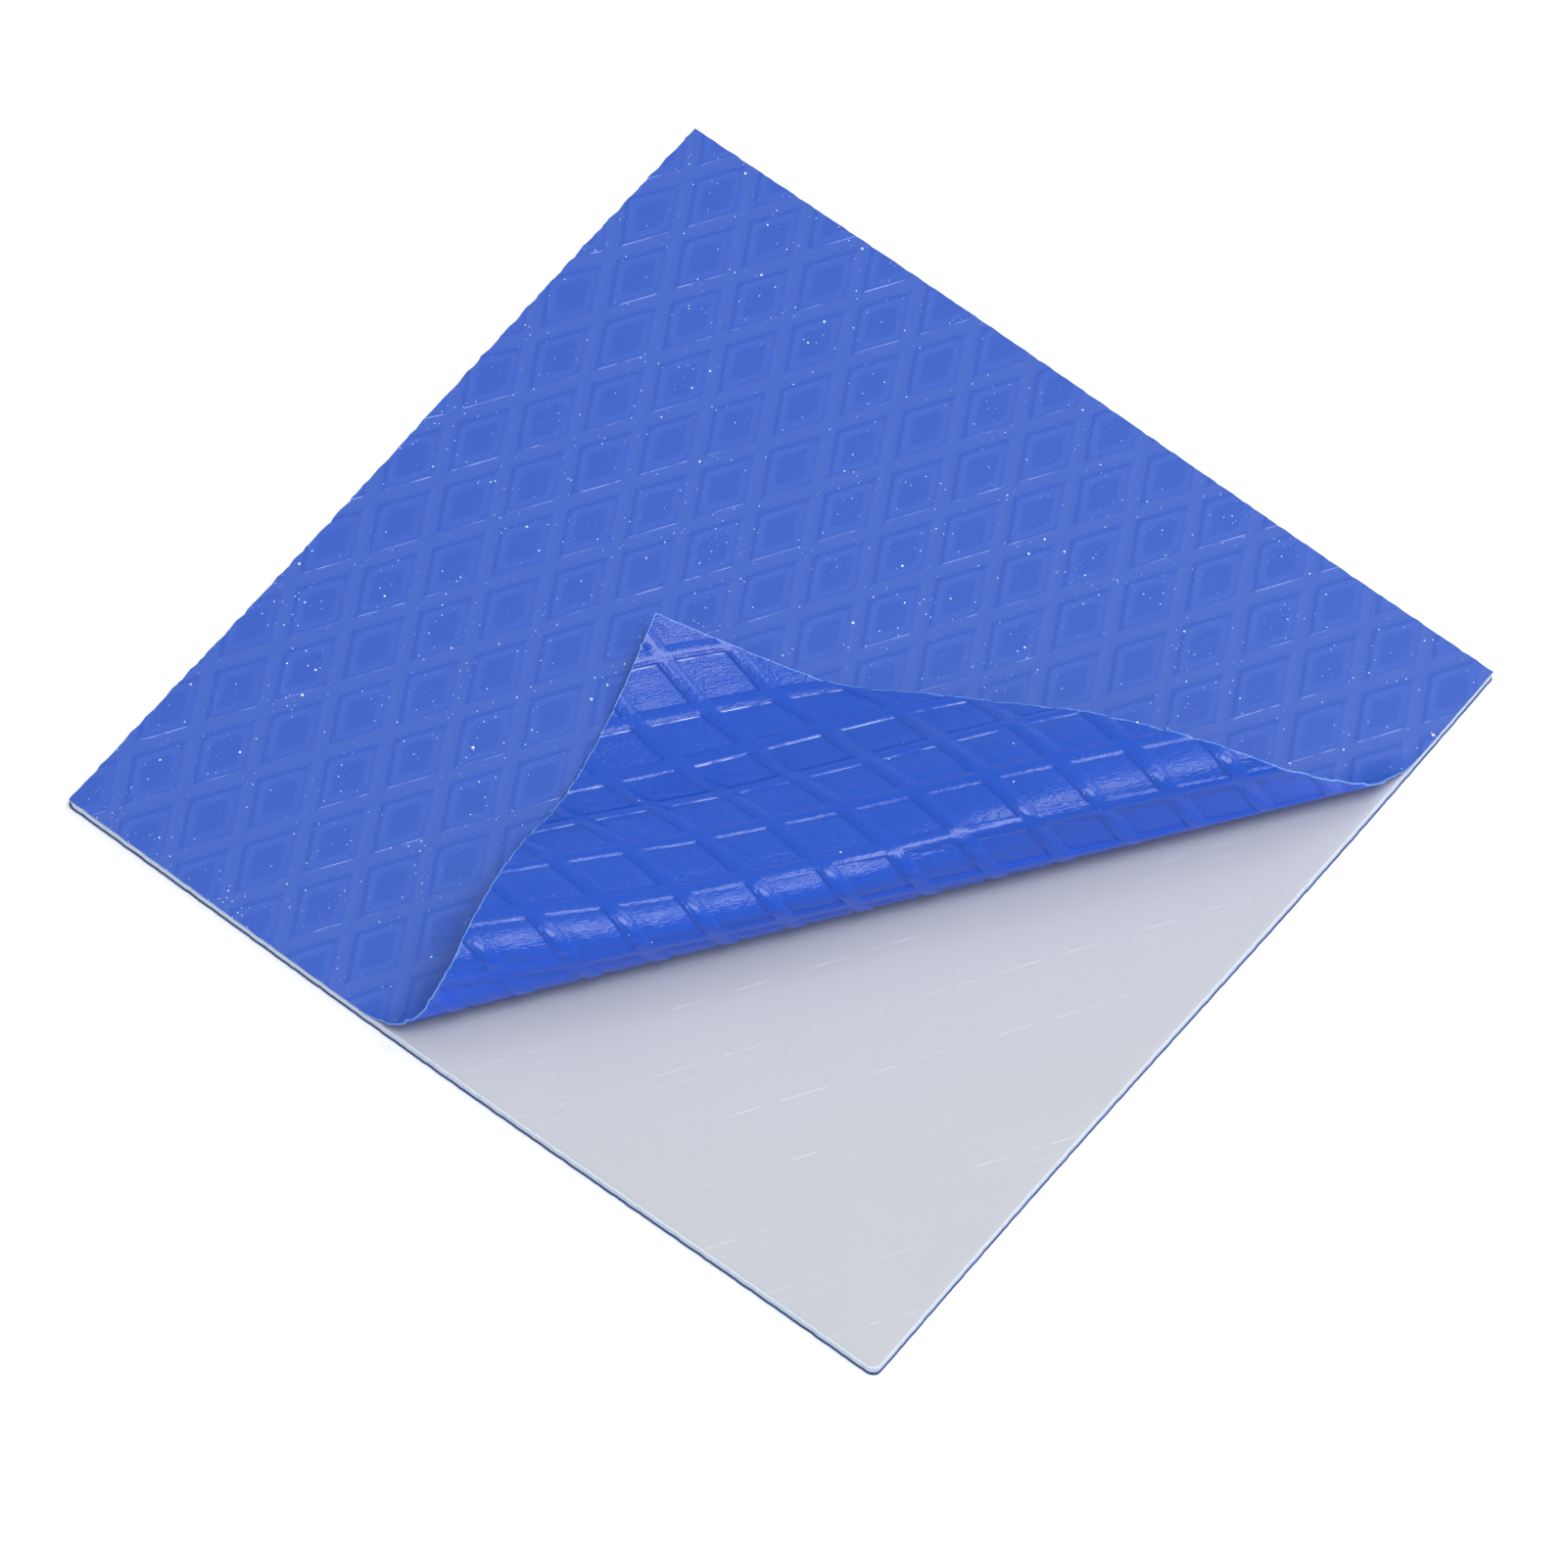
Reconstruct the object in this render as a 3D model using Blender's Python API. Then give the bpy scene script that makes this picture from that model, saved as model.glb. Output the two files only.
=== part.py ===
"""Thermal pad sheet: a thin square of soft silicone between two protective films.

The lower film and the pad lie flat. The upper film is peeled off the pad's near right corner and
rolls back over itself. Metres, +Z up, origin under the middle of the sheet, on its lowest face.
The front edge is at -Y, and the peeled corner is at +X, -Y.
"""
import bmesh
import bpy
from math import atan2, cos, pi, radians, sin

# Driving sizes of the sheet
SHEET_WIDTH = 0.100
SHEET_LENGTH = 0.100
PAD_THICKNESS = 0.0010
TOP_FILM_THICKNESS = 0.00012
BOTTOM_FILM_THICKNESS = 0.00010
LAYER_CLEARANCE = 0.00002

# Rounding of the cut corners, seen from above
CORNER_ROUND = 0.0006
NEAR_CORNER_ROUND = 0.0018
FILM_TIP_ROUND = 0.0004
CORNER_STEPS = 6

# Where the upper film leaves the pad, measured from the near right corner
PEEL_ALONG_FRONT = 0.0631
PEEL_ALONG_SIDE = 0.0887

# The roll's section, square to the peel line: heel, wall, crown, back, slope and curled tip. A straight
# run between the back and the slope brings the film down to the height of its valley.
HEEL_RADIUS = 0.0042
HEEL_ANGLE = radians(91.0)
WALL_RADIUS = 0.0218
WALL_ANGLE = radians(104.0)
CROWN_RADIUS = 0.0030
CROWN_ANGLE = radians(187.0)
BACK_RADIUS = 0.0206
BACK_ANGLE = radians(215.0)
SLOPE_RADIUS = 0.0157
SLOPE_ANGLE = radians(192.0)
TIP_CURL_RADIUS = 0.0235
VALLEY_HEIGHT = 0.0020
BEND_STEP = radians(7.0)

# How far the rolled film shifts towards the back for each length that it is rolled
ROLL_DRIFT = 0.035

# Colour, roughness and metallic value of each piece
PAD_FINISH = ((0.62, 0.64, 0.67, 1.0), 0.75, 0.0)
TOP_FILM_FINISH = ((0.06, 0.13, 0.62, 1.0), 0.35, 0.0)
BOTTOM_FILM_FINISH = ((0.20, 0.27, 0.42, 1.0), 0.40, 0.0)

# Heights of the layers, from the lowest face up
PAD_LOW = BOTTOM_FILM_THICKNESS + LAYER_CLEARANCE
PAD_HIGH = PAD_LOW + PAD_THICKNESS
TOP_FILM_LOW = PAD_HIGH + LAYER_CLEARANCE


def clear_scene():
    for item in list(bpy.data.objects):
        bpy.data.objects.remove(item, do_unlink=True)


def make_material(name, finish):
    colour, roughness, metallic = finish
    material = bpy.data.materials.new(name)
    material.use_nodes = True
    shader = material.node_tree.nodes["Principled BSDF"]
    shader.inputs["Base Color"].default_value = colour
    shader.inputs["Roughness"].default_value = roughness
    shader.inputs["Metallic"].default_value = metallic
    material.diffuse_color = colour
    return material


def add_object(name, bm, material):
    mesh = bpy.data.meshes.new(name)
    bm.to_mesh(mesh)
    bm.free()
    mesh.materials.append(material)
    item = bpy.data.objects.new(name, mesh)
    bpy.context.scene.collection.objects.link(item)
    return item


def sheet_outline(near_round):
    """The cut outline, counter-clockwise from the near right corner, which has its own rounding."""
    half_width = SHEET_WIDTH / 2
    half_length = SHEET_LENGTH / 2
    corners = [(1, -1, near_round), (1, 1, CORNER_ROUND), (-1, 1, CORNER_ROUND), (-1, -1, CORNER_ROUND)]
    points = []
    for index, (side_x, side_y, radius) in enumerate(corners):
        centre_x = side_x * (half_width - radius)
        centre_y = side_y * (half_length - radius)
        first_angle = (index - 1) * pi / 2
        for step in range(CORNER_STEPS + 1):
            angle = first_angle + step / CORNER_STEPS * pi / 2
            points.append((centre_x + radius * cos(angle), centre_y + radius * sin(angle)))
    return points


def make_flat_layer(name, near_round, low, thickness, material):
    bm = bmesh.new()
    base = bm.faces.new([bm.verts.new((x, y, low)) for x, y in sheet_outline(near_round)])
    lifted = bmesh.ops.extrude_face_region(bm, geom=[base])
    top_points = [item for item in lifted["geom"] if isinstance(item, bmesh.types.BMVert)]
    bmesh.ops.translate(bm, vec=(0, 0, thickness), verts=top_points)
    bmesh.ops.recalc_face_normals(bm, faces=bm.faces)
    return add_object(name, bm, material)


class PeelLine:
    """The straight line where the film leaves the pad. Distance past it grows towards the corner."""

    def __init__(self):
        self.angle = atan2(PEEL_ALONG_SIDE, PEEL_ALONG_FRONT)
        self.start_x = SHEET_WIDTH / 2 - PEEL_ALONG_FRONT
        self.start_y = -SHEET_LENGTH / 2

    def from_plan(self, x, y):
        dx = x - self.start_x
        dy = y - self.start_y
        along = dx * cos(self.angle) + dy * sin(self.angle)
        past = dx * sin(self.angle) - dy * cos(self.angle)
        return along, past

    def to_plan(self, along, past):
        x = self.start_x + along * cos(self.angle) + past * sin(self.angle)
        y = self.start_y + along * sin(self.angle) - past * cos(self.angle)
        return x, y


def add_bend(section, radius, end_angle):
    """Continues the section with an arc. Each point is length, distance, height and slope angle."""
    length, distance, height, start_angle = section[-1]
    turn = end_angle - start_angle
    steps = max(1, round(abs(turn) / BEND_STEP))
    sign = 1 if turn > 0 else -1
    for step in range(1, steps + 1):
        angle = start_angle + turn * step / steps
        run = radius * abs(turn) * step / steps
        across = distance + sign * radius * (sin(angle) - sin(start_angle))
        up = height + sign * radius * (cos(start_angle) - cos(angle))
        section.append((length + run, across, up, angle))


def add_run(section, run):
    length, distance, height, angle = section[-1]
    section.append((length + run, distance + run * cos(angle), height + run * sin(angle), angle))


def roll_section(total_length):
    """The lower face of the peeled film, square to the peel line, out to its tip."""
    section = [(0.0, 0.0, 0.0, 0.0)]
    add_bend(section, HEEL_RADIUS, HEEL_ANGLE)
    add_bend(section, WALL_RADIUS, WALL_ANGLE)
    add_bend(section, CROWN_RADIUS, CROWN_ANGLE)
    add_bend(section, BACK_RADIUS, BACK_ANGLE)
    slope_bend_drop = SLOPE_RADIUS * (cos(BACK_ANGLE) - cos(SLOPE_ANGLE))
    valley_drop = TIP_CURL_RADIUS * (cos(SLOPE_ANGLE) + 1)
    straight_drop = section[-1][2] - VALLEY_HEIGHT - slope_bend_drop - valley_drop
    add_run(section, straight_drop / sin(BACK_ANGLE - pi))
    add_bend(section, SLOPE_RADIUS, SLOPE_ANGLE)
    rest = total_length - section[-1][0]
    if rest > 0:
        add_bend(section, TIP_CURL_RADIUS, SLOPE_ANGLE - rest / TIP_CURL_RADIUS)
    return section


def section_at(section, length):
    """Distance and height of the section where it is the given length from the peel line."""
    for before, after in zip(section, section[1:]):
        if length <= after[0]:
            share = (length - before[0]) / (after[0] - before[0])
            distance = before[1] + share * (after[1] - before[1])
            height = before[2] + share * (after[2] - before[2])
            return distance, height
    return section[-1][1], section[-1][2]


def ruling_ends(outline, past):
    """Where a line at a distance past the peel line crosses the outline, front end first."""
    crossings = []
    for (along_a, past_a), (along_b, past_b) in zip(outline, outline[1:] + outline[:1]):
        if (past_a - past) * (past_b - past) < 0:
            share = (past - past_a) / (past_b - past_a)
            crossings.append(along_a + share * (along_b - along_a))
        elif past_a == past:
            crossings.append(along_a)
    return min(crossings), max(crossings)


def make_peeled_film(name, material):
    peel = PeelLine()
    outline = [peel.from_plan(x, y) for x, y in sheet_outline(FILM_TIP_ROUND)]
    tip = max(outline, key=lambda point: point[1])
    section = roll_section(tip[1])

    bm = bmesh.new()

    def film_point(along, past):
        distance, height = section_at(section, past) if past > 0 else (past, 0.0)
        x, y = peel.to_plan(along + ROLL_DRIFT * max(past, 0.0), distance)
        return bm.verts.new((x, y, TOP_FILM_LOW + height))

    front, back = ruling_ends(outline, 0.0)
    first_ruling = (film_point(front, 0.0), film_point(back, 0.0))
    flat_points = [film_point(along, past) for along, past in outline if past < 0]
    bm.faces.new([first_ruling[0], first_ruling[1]] + flat_points)

    bends = [point[0] for point in section if 0 < point[0] < tip[1]]
    corner_rows = [past for along, past in outline if 0 < past < tip[1]]
    ruling = first_ruling
    for past in sorted(set(bends + corner_rows)):
        front, back = ruling_ends(outline, past)
        following = (film_point(front, past), film_point(back, past))
        bm.faces.new([ruling[0], following[0], following[1], ruling[1]])
        ruling = following
    bm.faces.new([ruling[0], film_point(*tip), ruling[1]])

    film = add_object(name, bm, material)
    thickness = film.modifiers.new("film thickness", "SOLIDIFY")
    thickness.thickness = TOP_FILM_THICKNESS
    thickness.offset = 1.0
    thickness.use_even_offset = True
    return film


def build():
    clear_scene()
    make_flat_layer("bottom_film", NEAR_CORNER_ROUND, 0.0, BOTTOM_FILM_THICKNESS,
                    make_material("backing film", BOTTOM_FILM_FINISH))
    make_flat_layer("thermal_pad", NEAR_CORNER_ROUND, PAD_LOW, PAD_THICKNESS,
                    make_material("silicone", PAD_FINISH))
    make_peeled_film("top_film", make_material("embossed film", TOP_FILM_FINISH))


build()
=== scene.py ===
"""The looks of a thermal pad sheet: a grey silicone pad between a thin backing film and an embossed film.

The blue upper film is one sheet that carries its diamond embossing through its peeled and rolled corner.
Film places are (x, y) in millimetres on the flat sheet, from its middle. The scene itself is in metres.
"""

from math import atan2, cos, hypot, pi, radians, sin

import bmesh
import bpy
import numpy as np
from mathutils import Matrix, Vector


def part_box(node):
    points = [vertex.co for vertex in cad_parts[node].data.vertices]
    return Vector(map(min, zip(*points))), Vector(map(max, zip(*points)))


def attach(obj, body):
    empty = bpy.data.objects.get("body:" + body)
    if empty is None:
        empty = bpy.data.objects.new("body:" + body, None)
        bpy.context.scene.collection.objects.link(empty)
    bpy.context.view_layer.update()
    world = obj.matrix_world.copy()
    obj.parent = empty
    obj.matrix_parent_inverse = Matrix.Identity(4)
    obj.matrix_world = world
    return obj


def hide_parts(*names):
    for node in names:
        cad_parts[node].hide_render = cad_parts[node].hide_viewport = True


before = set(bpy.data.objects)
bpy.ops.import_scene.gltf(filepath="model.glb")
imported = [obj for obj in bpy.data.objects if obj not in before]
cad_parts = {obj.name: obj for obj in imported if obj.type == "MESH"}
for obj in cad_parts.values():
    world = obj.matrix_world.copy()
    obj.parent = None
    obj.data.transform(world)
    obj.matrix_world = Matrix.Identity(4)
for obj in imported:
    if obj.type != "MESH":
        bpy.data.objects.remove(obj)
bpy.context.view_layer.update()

MM = 0.001

# The sheet's sizes in millimetres, as the frame gives them
sheet_low, sheet_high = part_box("thermal_pad")
HALF_WIDTH = (sheet_high.x - sheet_low.x) / 2 / MM
HALF_LENGTH = (sheet_high.y - sheet_low.y) / 2 / MM
PAD_LOW = sheet_low.z / MM
PAD_HIGH = sheet_high.z / MM
FILM_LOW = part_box("top_film")[0].z / MM
BACKING_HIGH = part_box("bottom_film")[1].z / MM

# The upper film's own thickness
FILM_THICKNESS = 0.12

# Where the film leaves the pad, measured from the near right corner, and how far the roll drifts back
PEEL_ALONG_FRONT = 63.1
PEEL_ALONG_SIDE = 88.7
ROLL_DRIFT = 0.035

# The roll's section, square to the peel line. Each bend is its radius in millimetres and the slope angle in
# degrees that it ends at. A straight run between the back and the slope brings the film down to the height
# of its valley. From there it curls up to its tip.
EVEN_HEEL = (4.2, 91.0)
EVEN_WALL = (21.8, 104.0)
EVEN_CROWN = (3.0, 187.0)
EVEN_BACK = (20.6, 215.0)
EVEN_SLOPE = (15.7, 192.0)
EVEN_TIP_RADIUS = 23.5
EVEN_VALLEY = 2.0

# The section that the roll sags towards in its middle. The reach gives where along the peel line the sag
# starts, peaks and ends. The share at its peak is above 1, so the film sags past this section.
SAGGED_HEEL = (4.2, 86.0)
SAGGED_WALL = (31.6, 92.5)
SAGGED_CROWN = (3.0, 185.0)
SAGGED_BACK = (23.8, 215.0)
SAGGED_SLOPE = (15.1, 192.0)
SAGGED_TIP_RADIUS = 23.6
SAGGED_VALLEY = 1.5
SAG_REACH = (-45.0, 42.0, 72.0)
SAG_SHARE = 1.8

# The embossing: two families of strips, each with the direction of its lines, its pitch and its first line
STRIP_ANGLES = (radians(57.72), radians(118.73))
STRIP_PITCHES = (6.424, 6.218)
STRIP_SHIFTS = (-0.0438, 0.1679)

# The embossed profile, as distances from the middle of a strip, and heights above the strip
STRIP_EDGE = 0.66
RIM_START = 0.86
RIM_END = 1.12
CELL_START = 1.75
RIM_HEIGHT = 0.19
CELL_HEIGHT = 0.05
PILLOW_HEIGHT = 0.06

# The distances from the middle of a strip where the film's mesh has its edges. The mesh is first made with
# a margin round the sheet. A point nearer to a cut than the snap distance counts as lying on it.
CELL_MESH_LINE = 2.45
MESH_LINES = (0.0, STRIP_EDGE, (STRIP_EDGE + RIM_START) / 2, RIM_START, RIM_END, CELL_START, CELL_MESH_LINE)
MESH_MARGIN = 3.0
CUT_SNAP = 0.02

# The same profile as soft masks for colours: a strip, and the pale border of a cell with rounded corners.
# Each pair gives the distances where a mask is 0 and where it is 1.
STRIP_MASK = (0.85, 0.45)
BORDER_OUTSIDE = (0.85, 1.25)
BORDER_INSIDE = (2.0, 1.4)
BORDER_CORNER = 0.9

# Where past the peel line the wall's painted light, a lighter blue that stands in for light coming through
# the roll's wall, starts to fade, and where it is gone
WALL_START = 7.0
WALL_END = 14.5

# Where past the peel line the flap's painted highlight lines beside the strips start to show, and where
# they show fully
FLAP_START = 18.0
FLAP_END = 34.0

# How much of the embossing's height is left where the film lies pressed on the pad, and where past the peel
# line it springs back
PRESSED_SHARE = 0.11
SPRING_START = -1.0
SPRING_END = 4.0

# How far the free edges of the roll stray from its even section: along it, past it and up. Each reach gives
# where past the peel line that starts, peaks and ends. It fades out over a width in from the edge.
FRONT_END_SHIFT = (-0.55, -1.0, 0.4)
FRONT_END_REACH = (6.3, 10.9, 42.8)
SIDE_END_SHIFT = (1.25, -1.0, 0.8)
SIDE_END_REACH = (14.0, 33.5, 40.7)
END_FADE = 18.0

# How far the tip strays the same way, and where that starts and ends past the peel line
TIP_SHIFT = (0.95, 0.65, 0.3)
TIP_REACH = (25.0, 51.4)

# How the sheet was cut: how far the knife wandered, how far it jagged on the right, back, left and front
# sides, and how far in from the edge that is taken up
CUT_WANDER = 0.28
CUT_JAGS = (0.025, 0.04, 0.09, 0.03)
CUT_FADE = 2.5

# The waves in the cuts, in radians for each millimetre: the slow wander, and coarse and fine jags
WANDER_WAVES = (0.047, 0.019)
COARSE_JAGS = (2.3, 0.41)
FINE_JAGS = (5.1, 0.93)
FINE_JAG_SHARE = 0.7

# Creases sharper than these stay crisp
FILM_CREASE = radians(55)
LAYER_CREASE = radians(35)

# The outline of the pad and the lower film: corner roundings, counter-clockwise from the near right corner
CORNER_ROUNDS = (1.1, 0.6, 0.6, 0.6)
CORNER_STEPS = 8
OUTLINE_STEPS_PER_MM = 2.0

# The pad from its foot up: heights, and how far in from the knife's path it is cut there. The lowest rings
# of faces between these levels are its cut side.
PAD_LEVELS = ((PAD_LOW, 0.05), (PAD_LOW + 0.35, 0.0), (PAD_LOW + 0.7, 0.03), (PAD_HIGH - 0.05, 0.0),
              (PAD_HIGH, 0.13), (PAD_HIGH, 0.7))
PAD_SIDE_RINGS = 4

# How far the lower film stands out from under the pad
BACKING_OVERHANG = 0.12

# The places of the materials on the film, and on a flat layer
FILM_UPPER, FILM_UNDER, FILM_EDGE = 0, 1, 2
LAYER_FACE, LAYER_SIDE = 0, 1

# The photograph's camera, round a point on the film's upper face
CAMERA_AZIMUTH = radians(33.97)
CAMERA_ELEVATION = radians(60.84)
CAMERA_ROLL = radians(4.47)
CAMERA_DISTANCE = 1.3819
CAMERA_TARGET = (0.00334, -0.00430, 0.00126)
CAMERA_CLIP_START = 0.05
SENSOR_WIDTH = 36.0
CAMERA_LENS = 322.5

# The table lies just under the lower film
FLOOR_SIZE = 6.0
FLOOR_HEIGHT = -0.00002


def smooth_step(value, start, end):
    """0 at start and 1 at end, smoothly."""
    share = np.clip((value - start) / (end - start), 0.0, 1.0)
    return share * share * (3.0 - 2.0 * share)


def strip_phases(x, y):
    """The place across both families of strips: whole numbers lie on the middle of a strip."""
    phases = []
    for angle, pitch, shift in zip(STRIP_ANGLES, STRIP_PITCHES, STRIP_SHIFTS):
        phases.append((x * sin(angle) - y * cos(angle)) / pitch + shift)
    return phases


def strip_distances(x, y):
    """Distances in millimetres to the nearest strip of each family."""
    phases = strip_phases(x, y)
    return [np.abs(phase - np.round(phase)) * pitch for phase, pitch in zip(phases, STRIP_PITCHES)]


def emboss_height(x, y):
    """The film's raised cells: a border rim round each cell, and a lower, slightly domed middle."""
    across = strip_distances(x, y)
    nearest = np.minimum(*across)
    rim = RIM_HEIGHT * smooth_step(nearest, STRIP_EDGE, RIM_START)
    dip = (RIM_HEIGHT - CELL_HEIGHT) * smooth_step(nearest, RIM_END, CELL_START)
    dome = 1.0
    for distance, pitch in zip(across, STRIP_PITCHES):
        half = pitch / 2 - CELL_START
        dome = dome * (1.0 - np.clip((pitch / 2 - distance) / half, 0.0, 1.0) ** 2)
    return rim - dip + PILLOW_HEIGHT * dome


def rise_and_fall(value, start, middle, end):
    """0 outside start and end, and 1 at the middle."""
    return smooth_step(value, start, middle) * smooth_step(value, end, middle)


class Section:
    """The roll's shape square to the peel line: a row of bends from the pad out to the tip."""

    def __init__(self, bends, tip_radius, valley):
        self.pieces = [(0.0, 0.0, 0.0, 0.0, 0.0)]
        *rising, slope = bends
        for radius, end_angle in rising:
            self.add_bend(radius, radians(end_angle))
        back_angle = self.pieces[-1][3]
        slope_radius, slope_angle = slope[0], radians(slope[1])
        slope_drop = slope_radius * (cos(back_angle) - cos(slope_angle))
        valley_drop = tip_radius * (cos(slope_angle) + 1)
        self.add_piece((self.pieces[-1][2] - valley - slope_drop - valley_drop) / sin(back_angle - pi), 0.0)
        self.add_bend(slope_radius, slope_angle)
        self.add_bend(tip_radius, slope_angle - pi)

    def add_piece(self, length, curvature):
        start, across, up, angle, _ = self.pieces[-1]
        end_across, end_up, end_angle = self.follow(across, up, angle, curvature, length)
        self.pieces[-1] = (start, across, up, angle, curvature)
        self.pieces.append((start + length, float(end_across), float(end_up), float(end_angle), 0.0))

    def add_bend(self, radius, end_angle):
        turn = end_angle - self.pieces[-1][3]
        self.add_piece(radius * abs(turn), (1.0 if turn > 0 else -1.0) / radius)

    @staticmethod
    def follow(across, up, angle, curvature, length):
        end_angle = angle + curvature * length
        if curvature:
            across = across + (np.sin(end_angle) - sin(angle)) / curvature
            up = up - (np.cos(end_angle) - cos(angle)) / curvature
        else:
            across = across + length * cos(angle)
            up = up + length * sin(angle)
        return across, up, end_angle

    def at(self, past):
        """Distance, height and slope angle of the film at lengths past the peel line."""
        across, up, angle = past.copy(), np.zeros_like(past), np.zeros_like(past)
        for start, from_across, from_up, from_angle, curvature in self.pieces[:-1]:
            inside = past > start
            length = past[inside] - start
            reached = self.follow(from_across, from_up, from_angle, curvature, length)
            across[inside], up[inside], angle[inside] = reached
        return across, up, angle


class Roll:
    """The peeled corner: an even roll along the peel line, which sags in its middle."""

    def __init__(self):
        self.angle = atan2(PEEL_ALONG_SIDE, PEEL_ALONG_FRONT)
        self.start_x = HALF_WIDTH - PEEL_ALONG_FRONT
        self.start_y = -HALF_LENGTH
        even_bends = (EVEN_HEEL, EVEN_WALL, EVEN_CROWN, EVEN_BACK, EVEN_SLOPE)
        sagged_bends = (SAGGED_HEEL, SAGGED_WALL, SAGGED_CROWN, SAGGED_BACK, SAGGED_SLOPE)
        self.even = Section(even_bends, EVEN_TIP_RADIUS, EVEN_VALLEY)
        self.sagged = Section(sagged_bends, SAGGED_TIP_RADIUS, SAGGED_VALLEY)

    def along_and_past(self, x, y):
        dx = x - self.start_x
        dy = y - self.start_y
        return dx * cos(self.angle) + dy * sin(self.angle), dx * sin(self.angle) - dy * cos(self.angle)

    def section(self, along, past):
        """Distance, height and slope angle at places along and past the peel line."""
        sag = SAG_SHARE * rise_and_fall(along, *SAG_REACH)
        both = zip(self.even.at(past), self.sagged.at(past))
        return [even + sag * (sagged - even) for even, sagged in both]

    def end_shift(self, x, y, past):
        """How far the film's two free edges and its tip stray from the even roll: along, past and up."""
        front = rise_and_fall(past, *FRONT_END_REACH) * smooth_step(y + HALF_LENGTH, END_FADE, 0.0)
        side = rise_and_fall(past, *SIDE_END_REACH) * smooth_step(HALF_WIDTH - x, END_FADE, 0.0)
        tip = smooth_step(past, *TIP_REACH)
        return [front * front_way + side * side_way + tip * tip_way
                for front_way, side_way, tip_way in zip(FRONT_END_SHIFT, SIDE_END_SHIFT, TIP_SHIFT)]

    def pressed(self, x, y):
        """The share of the embossing's height that is left at a film place."""
        past = self.along_and_past(x, y)[1]
        return PRESSED_SHARE + (1.0 - PRESSED_SHARE) * smooth_step(past, SPRING_START, SPRING_END)

    def place(self, x, y, height):
        """Where a film place at a height above the film's lower face lies in the scene, in metres."""
        along, past = self.along_and_past(x, y)
        across, up, angle = self.section(along, past)
        shift_along, shift_past, shift_up = self.end_shift(x, y, past)
        along = along + ROLL_DRIFT * np.maximum(past, 0.0) + shift_along
        across = across - np.sin(angle) * height + shift_past
        scene_x = self.start_x + along * cos(self.angle) + across * sin(self.angle)
        scene_y = self.start_y + along * sin(self.angle) - across * cos(self.angle)
        return np.stack([scene_x, scene_y, FILM_LOW + up + np.cos(angle) * height + shift_up], axis=-1) * MM


def beating_wave(position, waves, starts):
    """Two waves multiplied, so that the ripples come and go along a cut."""
    return np.sin(position * waves[0] + starts[0]) * np.sin(position * waves[1] + starts[1])


def knife_wander(position, side):
    """How far a cut edge strays outwards at a position along it. No two sides start alike."""
    wander = CUT_WANDER * beating_wave(position, WANDER_WAVES, (1.7 * side, side + pi / 2))
    jags = beating_wave(position, COARSE_JAGS, (5 * side, side))
    jags = jags + FINE_JAG_SHARE * beating_wave(position, FINE_JAGS, (side, 2 * side))
    return wander + CUT_JAGS[side] * jags


def cut_place(x, y, inset=0.0):
    """Moves places near the sheet's edges to where the knife really went."""
    moved = [x.copy(), y.copy()]
    right, back, left, front = (1, 0), (1, 1), (-1, 0), (-1, 1)
    for side, (sign, axis) in enumerate((right, back, left, front)):
        half, away, other = ((HALF_WIDTH, x, y), (HALF_LENGTH, y, x))[axis]
        gap = half - sign * away
        pull = smooth_step(gap, CUT_FADE, 0.0) * (knife_wander(other, side) - inset)
        moved[axis] += sign * pull
    return moved


def lattice_grid():
    """A flat mesh of the sheet, cut square and along the peel line. Its edges follow the embossing."""
    reach = hypot(HALF_WIDTH, HALF_LENGTH)
    families = []
    for pitch, shift in zip(STRIP_PITCHES, STRIP_SHIFTS):
        count = int(reach / pitch) + 2
        offsets = sorted({sign * line / pitch for line in MESH_LINES for sign in (-1, 1)} | {0.5})
        lines = [index + offset for index in range(-count, count + 1) for offset in offsets]
        families.append(np.array(lines))
    first, second = np.meshgrid(*families, indexing="ij")
    rows = np.array([[sin(angle) / pitch, -cos(angle) / pitch]
                     for angle, pitch in zip(STRIP_ANGLES, STRIP_PITCHES)])
    shifted = np.stack([first - STRIP_SHIFTS[0], second - STRIP_SHIFTS[1]])
    x, y = np.einsum("ij,jkl->ikl", np.linalg.inv(rows), shifted)
    keep = (np.abs(x) < HALF_WIDTH + MESH_MARGIN) & (np.abs(y) < HALF_LENGTH + MESH_MARGIN)
    number = np.full(x.shape, -1)
    number[keep] = np.arange(keep.sum())
    corners = [number[:-1, :-1], number[1:, :-1], number[1:, 1:], number[:-1, 1:]]
    quads = np.stack(corners, axis=-1).reshape(-1, 4)
    quads = quads[(quads >= 0).all(axis=1)]
    points = np.stack([x[keep], y[keep], np.zeros(keep.sum())], axis=-1)

    flat = bpy.data.meshes.new("flat film")
    flat.from_pydata(points.tolist(), [], quads.tolist())
    bm = bmesh.new()
    bm.from_mesh(flat)
    bpy.data.meshes.remove(flat)
    roll = Roll()
    cuts = [((sign * HALF_WIDTH, 0, 0), (sign, 0, 0), True) for sign in (-1, 1)]
    cuts += [((0, sign * HALF_LENGTH, 0), (0, sign, 0), True) for sign in (-1, 1)]
    cuts.append(((roll.start_x, roll.start_y, 0), (sin(roll.angle), -cos(roll.angle), 0), False))
    for point, direction, clear in cuts:
        geometry = bm.verts[:] + bm.edges[:] + bm.faces[:]
        bmesh.ops.bisect_plane(bm, geom=geometry, dist=CUT_SNAP, plane_co=point, plane_no=direction,
                               clear_outer=clear)
    bmesh.ops.recalc_face_normals(bm, faces=bm.faces)
    if sum(face.normal.z for face in bm.faces) < 0:
        bmesh.ops.reverse_faces(bm, faces=bm.faces)
    return bm


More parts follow.
